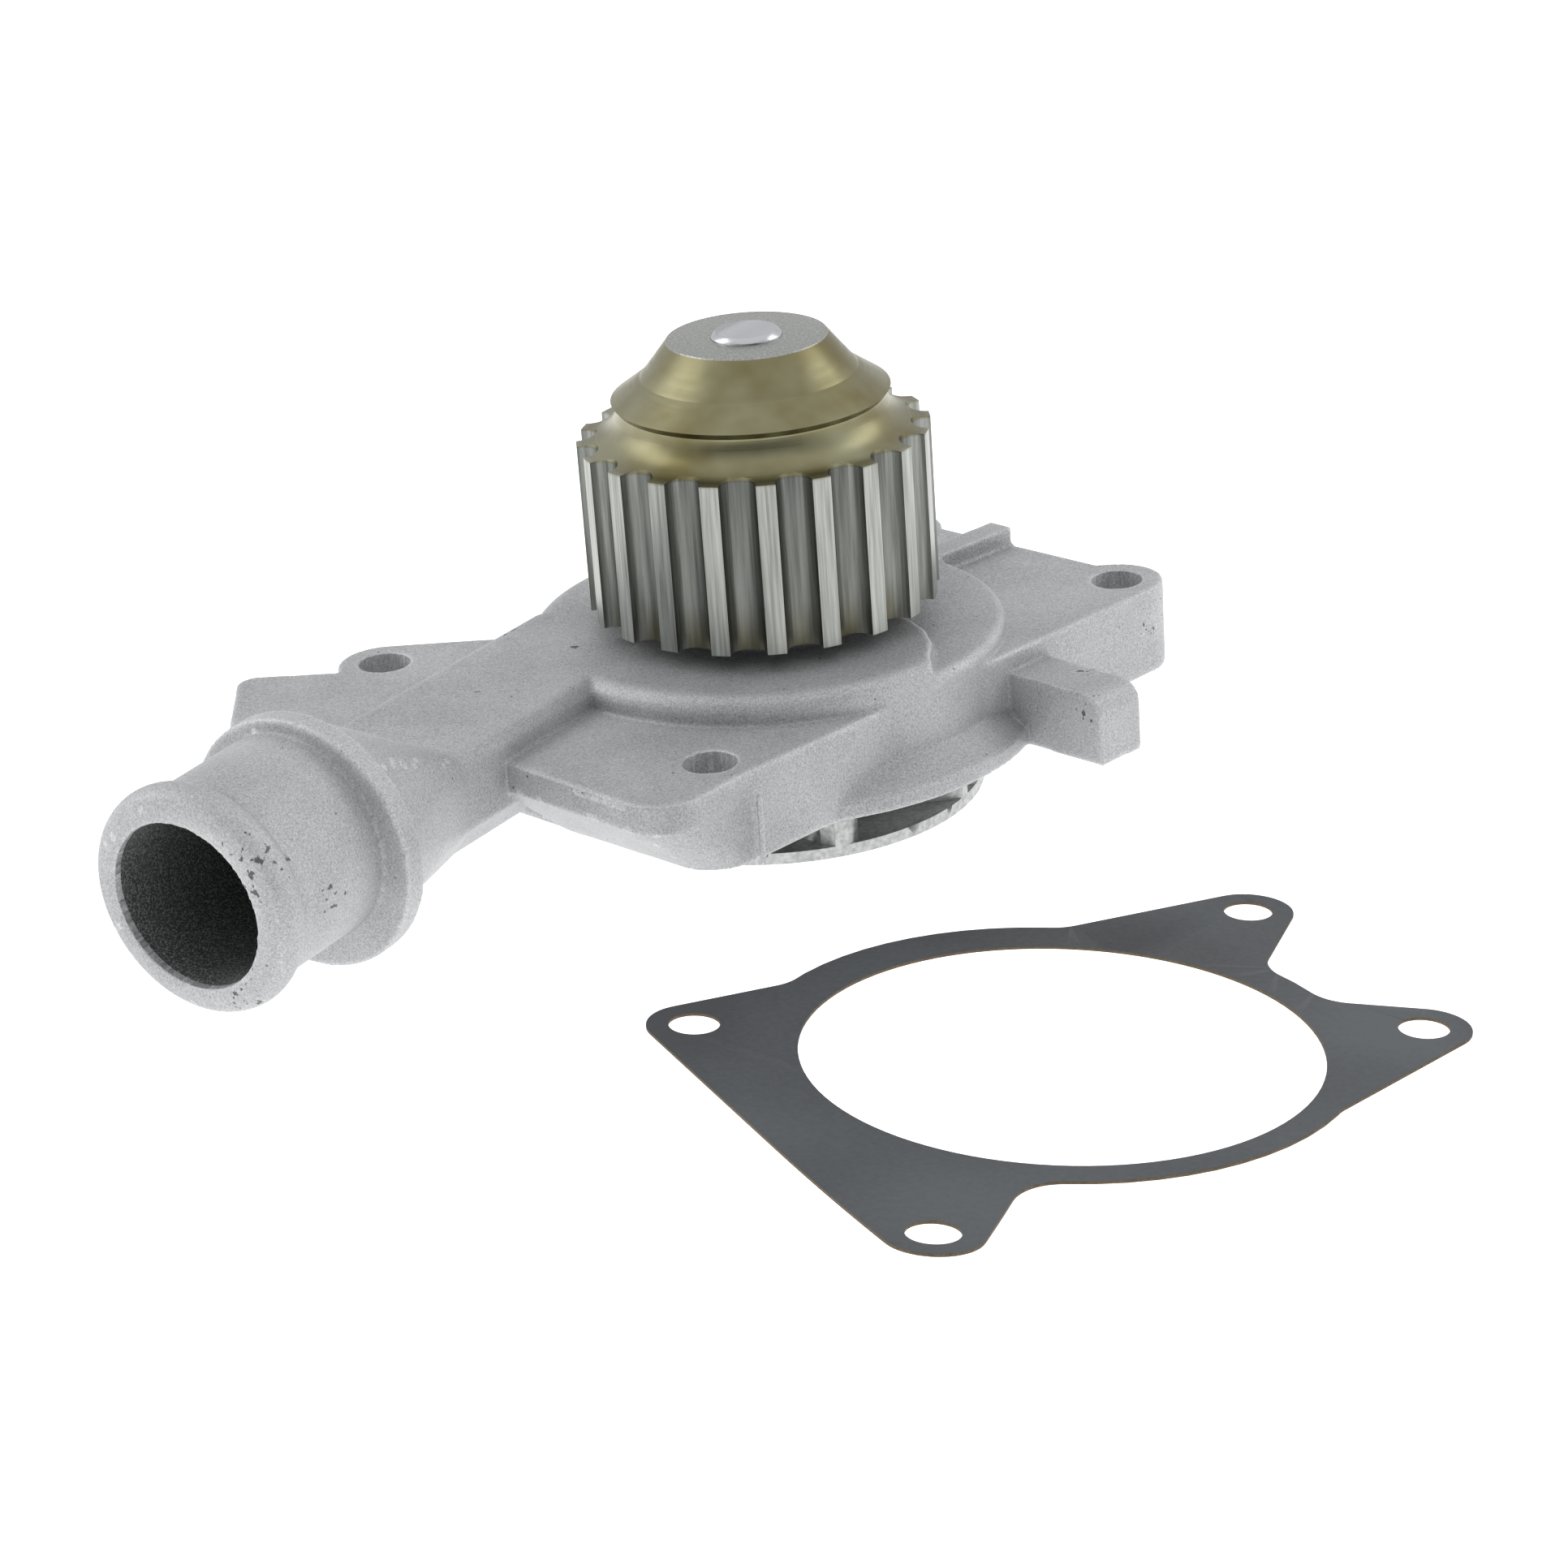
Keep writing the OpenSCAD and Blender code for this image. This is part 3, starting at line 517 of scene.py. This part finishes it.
fibre, tree = new_material("punched_fibre_sheet")
place = add_node(tree, "ShaderNodeTexCoord").outputs["Object"]
fibre_length = 1.1 * MM
mottle = add_node(tree, "ShaderNodeTexNoise", {"Scale": 1 / fibre_length, "Detail": 5.0, "Roughness": 0.65},
                  {"Vector": place}).outputs["Fac"]
cloud = add_node(tree, "ShaderNodeTexNoise", {"Scale": 1 / (40 * MM), "Detail": 1.0},
                 {"Vector": place}).outputs["Fac"]
tone = add_node(tree, "ShaderNodeMath", {"operation": "MULTIPLY_ADD", 1: 0.4},
                {0: mottle, 2: cloud}).outputs[0]
shade = add_node(tree, "ShaderNodeValToRGB", links={"Fac": tone})
shade.color_ramp.elements[0].position = 0.5
shade.color_ramp.elements[0].color = linear("#34373a")
shade.color_ramp.elements[1].position = 0.9
shade.color_ramp.elements[1].color = linear("#4c5052")
bump = add_node(tree, "ShaderNodeBump", {"Strength": 0.3, "Distance": 0.04 * MM}, {"Height": mottle})
surface = add_node(tree, "ShaderNodeBsdfPrincipled", {"Roughness": 0.62, "IOR": 1.5},
                   {"Base Color": shade.outputs[0], "Normal": bump.outputs[0]})
add_node(tree, "ShaderNodeOutputMaterial", links={"Surface": surface.outputs[0]})

cut_fibre, tree = new_material("cut_fibre_edge")
place = add_node(tree, "ShaderNodeTexCoord").outputs["Object"]
fuzz = add_node(tree, "ShaderNodeTexNoise", {"Scale": 1 / (0.5 * MM), "Detail": 3.0},
                {"Vector": place}).outputs["Fac"]
shade = add_node(tree, "ShaderNodeValToRGB", links={"Fac": fuzz})
shade.color_ramp.elements[0].color = linear("#3a342c")
shade.color_ramp.elements[1].color = linear("#7c6a52")
surface = add_node(tree, "ShaderNodeBsdfPrincipled", {"Roughness": 0.9, "IOR": 1.5},
                   {"Base Color": shade.outputs[0]})
add_node(tree, "ShaderNodeOutputMaterial", links={"Surface": surface.outputs[0]})
gasket = dressed("flange_gasket", "fibre_gasket", "gasket", fibre, 0.06 * MM)
gasket.data.materials.append(cut_fibre)
sheet_up = Vector(mounts["gasket_opening"]["axis"])

# the ear nearest the front has not been pressed flat and curls up off the table
sheet_middle = Vector(mounts["gasket_opening"]["pos_m"])
ears = [Vector(m["pos_m"]) for name, m in mounts.items() if name.startswith("gasket_hole")]
curled = min(ears, key=lambda ear: ear.y) - sheet_middle
along_ear, curl_start, curl = curled.normalized(), curled.length * 0.7, 1.7
bm = bmesh.new()
bm.from_mesh(gasket.data)
folds, fold_gap = 12, 2 * MM
for fold in range(folds):
    cut_place = sheet_middle + along_ear * (curl_start + fold * fold_gap)
    everything = bm.verts[:] + bm.edges[:] + bm.faces[:]
    bmesh.ops.bisect_plane(bm, geom=everything, plane_co=cut_place, plane_no=along_ear)
for vertex in bm.verts:
    past = max(0, (vertex.co - sheet_middle).dot(along_ear) - curl_start)
    vertex.co += sheet_up * curl * past * past
bm.to_mesh(gasket.data)
bm.free()
for face in gasket.data.polygons:
    face.material_index = int(abs(face.normal.dot(sheet_up)) < 0.5)

# ---- bearing and face seal ----
# The pieces inside: two rows of lapped balls in nylon cages, rubber lip rings, and a
# mechanical seal of drawn steel, rubber, carbon and alumina. All but the race are hidden.


def plain_finish(name, colours, grain_size, roughness, metallic=0.0):
    """A finish with its own grain: two tones, and a bump of the same grain."""
    material, tree = new_material(name)
    place = add_node(tree, "ShaderNodeTexCoord").outputs["Object"]
    grain = add_node(tree, "ShaderNodeTexNoise", {"Scale": 1 / grain_size, "Detail": 3.0},
                     {"Vector": place}).outputs["Fac"]
    shade = add_node(tree, "ShaderNodeValToRGB", links={"Fac": grain})
    shade.color_ramp.elements[0].position = 0.35
    shade.color_ramp.elements[0].color = linear(colours[0])
    shade.color_ramp.elements[1].position = 0.65
    shade.color_ramp.elements[1].color = linear(colours[1])
    bump = add_node(tree, "ShaderNodeBump", {"Strength": 0.2, "Distance": 0.02 * MM}, {"Height": grain})
    surface = add_node(tree, "ShaderNodeBsdfPrincipled", {"Metallic": metallic, "Roughness": roughness},
                       {"Base Color": shade.outputs[0], "Normal": bump.outputs[0]})
    add_node(tree, "ShaderNodeOutputMaterial", links={"Surface": surface.outputs[0]})
    return material


inner_finishes = {
    plain_finish("ground_race_steel", ("#8e9194", "#b3b6b8"), 0.4 * MM, 0.3, 1.0): ["bearing_outer_race"],
    plain_finish("lapped_ball_steel", ("#c4c7ca", "#d6d8da"), 0.3 * MM, 0.08, 1.0):
        ["front_ball_row", "rear_ball_row"],
    plain_finish("glass_filled_nylon", ("#b7a37a", "#c9b78f"), 0.6 * MM, 0.5):
        ["front_ball_cage", "rear_ball_cage"],
    plain_finish("moulded_nitrile_rubber", ("#161616", "#232323"), 0.5 * MM, 0.6):
        ["front_bearing_seal", "rear_bearing_seal", "seal_bellows", "mating_ring_boot"],
    plain_finish("drawn_stainless_sheet", ("#a6a8a8", "#bfc1c1"), 0.8 * MM, 0.32, 1.0):
        ["water_slinger", "seal_cup", "seal_retainer"],
    plain_finish("drawn_spring_wire", ("#8f9192", "#adafb0"), 0.3 * MM, 0.28, 1.0): ["seal_spring"],
    plain_finish("lapped_carbon", ("#1b1c1f", "#2a2b2e"), 0.2 * MM, 0.4): ["carbon_seal_ring"],
    plain_finish("lapped_alumina", ("#ddd8cb", "#ece8de"), 0.3 * MM, 0.25): ["ceramic_mating_ring"],
}
for material, nodes in inner_finishes.items():
    for node in nodes:
        mesh = frame["nodes"][node].data
        mesh.materials.clear()
        mesh.materials.append(material)
